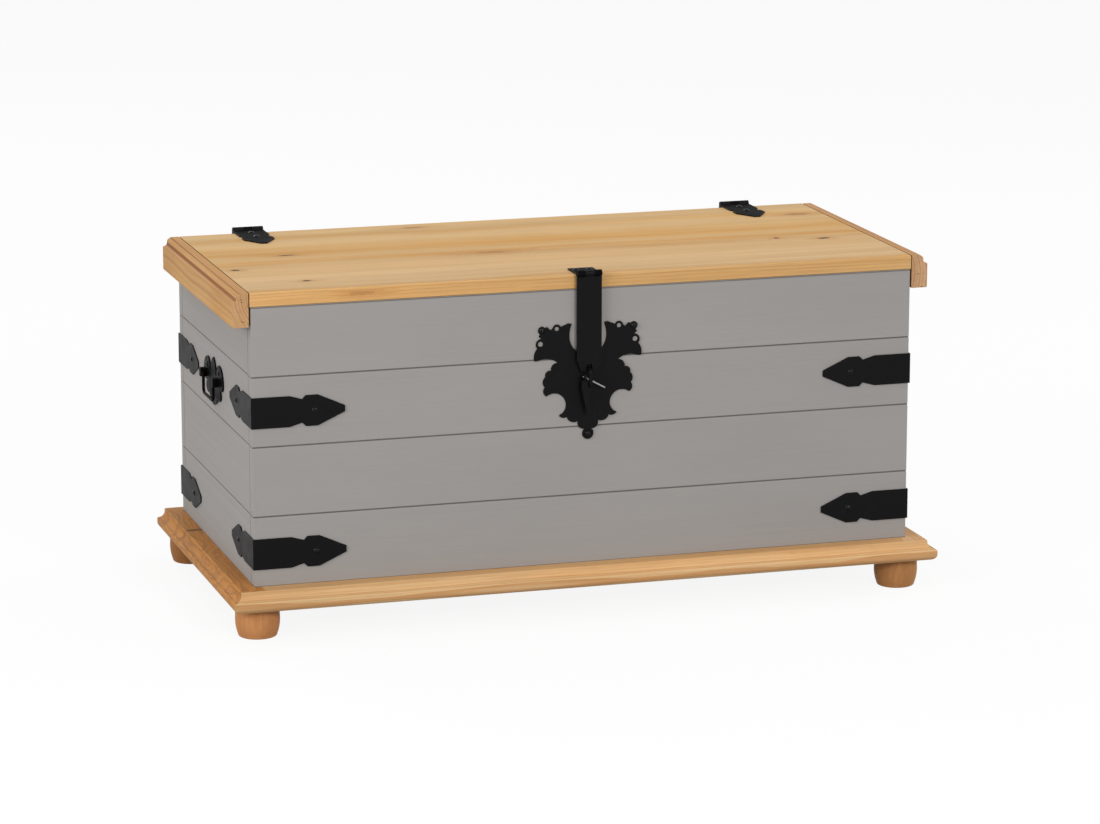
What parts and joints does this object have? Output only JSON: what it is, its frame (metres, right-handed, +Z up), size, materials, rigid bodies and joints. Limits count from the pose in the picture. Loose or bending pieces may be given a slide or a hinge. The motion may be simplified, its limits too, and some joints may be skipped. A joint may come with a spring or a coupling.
{
  "type": "lidded storage chest",
  "caption": "Low lidded pine chest with painted board walls, a moulded plinth on bun feet, iron corner straps, a hasp with an ornamental plate and bail handles.",
  "frame": {"origin": "middle of the plinth's footprint on the floor under the feet", "axes": "+X to the right along the length as seen from the front, +Y to the rear, +Z up"},
  "size_m": [1, 0.501, 0.4772],
  "materials": {
    "grey_paint": "thin matt grey paint on pine",
    "clear_pine": "satin clear lacquer on honey pine",
    "bare_pine": "bare planed pine",
    "black_iron": "satin black paint on iron",
    "bright_steel": "bright drawn steel wire"
  },
  "bodies": {
    "case": {"plinth_board": "clear_pine", "bun_foot_front_left": "clear_pine", "bun_foot_front_right": "clear_pine", "bun_foot_back_left": "clear_pine", "bun_foot_back_right": "clear_pine", "front_board_1": "grey_paint", "front_board_2": "grey_paint", "front_board_3": "grey_paint", "front_board_4": "grey_paint", "back_board_1": "grey_paint", "back_board_2": "grey_paint", "back_board_3": "grey_paint", "back_board_4": "grey_paint", "left_board_1": "grey_paint", "left_board_2": "grey_paint", "left_board_3": "grey_paint", "left_board_4": "grey_paint", "right_board_1": "grey_paint", "right_board_2": "grey_paint", "right_board_3": "grey_paint", "right_board_4": "grey_paint", "corner_posts": "bare_pine", "upper_strap_front_left": "black_iron", "upper_strap_front_right": "black_iron", "upper_strap_back_right": "black_iron", "upper_strap_back_left": "black_iron", "lower_strap_front_left": "black_iron", "lower_strap_front_right": "black_iron", "lower_strap_back_right": "black_iron", "lower_strap_back_left": "black_iron", "hinge_back_leaf_left": "black_iron", "hinge_back_leaf_right": "black_iron", "hinge_pins": "black_iron", "lock_plate": "black_iron", "lock_plate_nails": "black_iron", "staple": "black_iron", "latch_pin": "bright_steel", "handle_plate_left": "black_iron", "handle_plate_right": "black_iron", "case_screws": "black_iron"},
    "lid": {"lid_board_1": "clear_pine", "lid_board_2": "clear_pine", "lid_board_3": "clear_pine", "lid_board_4": "clear_pine", "lid_batten_left": "clear_pine", "lid_batten_right": "clear_pine", "batten_dowels": "clear_pine", "hinge_lid_leaf_left": "black_iron", "hinge_lid_leaf_right": "black_iron", "hasp_lid_leaf": "black_iron", "hasp_pin": "black_iron", "lid_screws": "black_iron"},
    "hasp": {"hasp_strap": "black_iron"},
    "latch_peg": {"latch_peg": "black_iron"},
    "left_bail": {"handle_bail_left": "black_iron"},
    "right_bail": {"handle_bail_right": "black_iron"}
  },
  "joints": [
    {"name": "lid_hinge", "type": "hinge", "parent": "case", "child": "lid", "pos_m": [0, 0.232, 0.4727], "axis": [-1, 0, 0], "range_deg": [0, 100]},
    {"name": "hasp_hinge", "type": "hinge", "parent": "lid", "child": "hasp", "pos_m": [0, -0.222, 0.4727], "axis": [-1, 0, 0], "range_deg": [0, 240]},
    {"name": "peg_swing", "type": "hinge", "parent": "case", "child": "latch_peg", "pos_m": [-0.0075, -0.2266, 0.33116], "axis": [-1, 0, 0], "range_deg": [0, 95]},
    {"name": "left_bail_swing", "type": "hinge", "parent": "case", "child": "left_bail", "pos_m": [-0.4744, 0.0095, 0.3119], "axis": [0, 1, 0], "range_deg": [0, 110]},
    {"name": "right_bail_swing", "type": "hinge", "parent": "case", "child": "right_bail", "pos_m": [0.4744, 0.0095, 0.3119], "axis": [0, -1, 0], "range_deg": [0, 110]}
  ]
}
